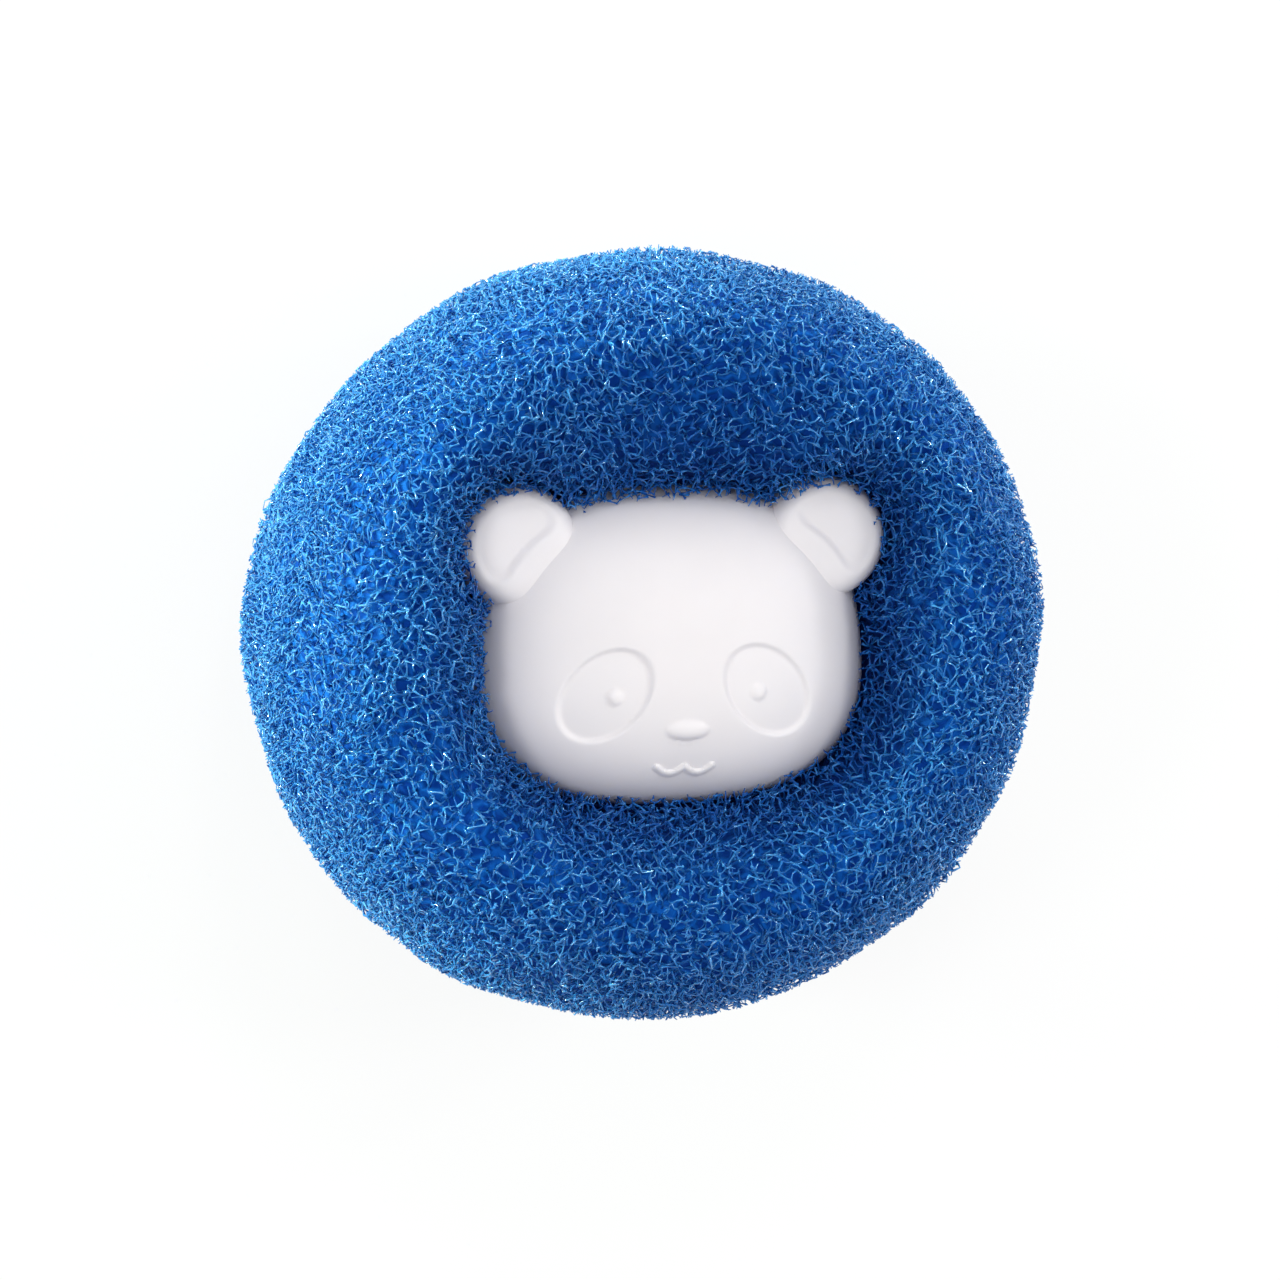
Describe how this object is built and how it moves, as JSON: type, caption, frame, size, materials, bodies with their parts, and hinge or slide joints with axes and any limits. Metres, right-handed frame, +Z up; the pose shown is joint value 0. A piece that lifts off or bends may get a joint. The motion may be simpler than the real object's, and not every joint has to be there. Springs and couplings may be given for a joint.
{
  "type": "pet hair laundry ball",
  "caption": "Soft open-cell foam ring with an animal-head cap snapped into the middle of each side, put in with the washing to catch loose pet hair.",
  "frame": {"origin": "under the ring's centre, on the flat of the rear crest that the ball rests on", "axes": "+Z up along the post, out of the face; +Y from the chin to the ears; +X to the viewer's right of the face"},
  "size_m": [0.066, 0.064, 0.042],
  "materials": {
    "white_plastic": "satin",
    "blue_foam": "matte"
  },
  "bodies": {
    "rear": {"rear_cap": "white_plastic", "foam_ring": "blue_foam"},
    "front": {"face_cap": "white_plastic"}
  },
  "joints": [
    {"name": "face_press", "type": "slide", "parent": "rear", "child": "front", "axis": [0, 0, -1], "range_m": [0, 0.004], "stiffness_N_per_m": 1500, "springref_m": -0.004, "deforming": ["foam_ring"]}
  ]
}
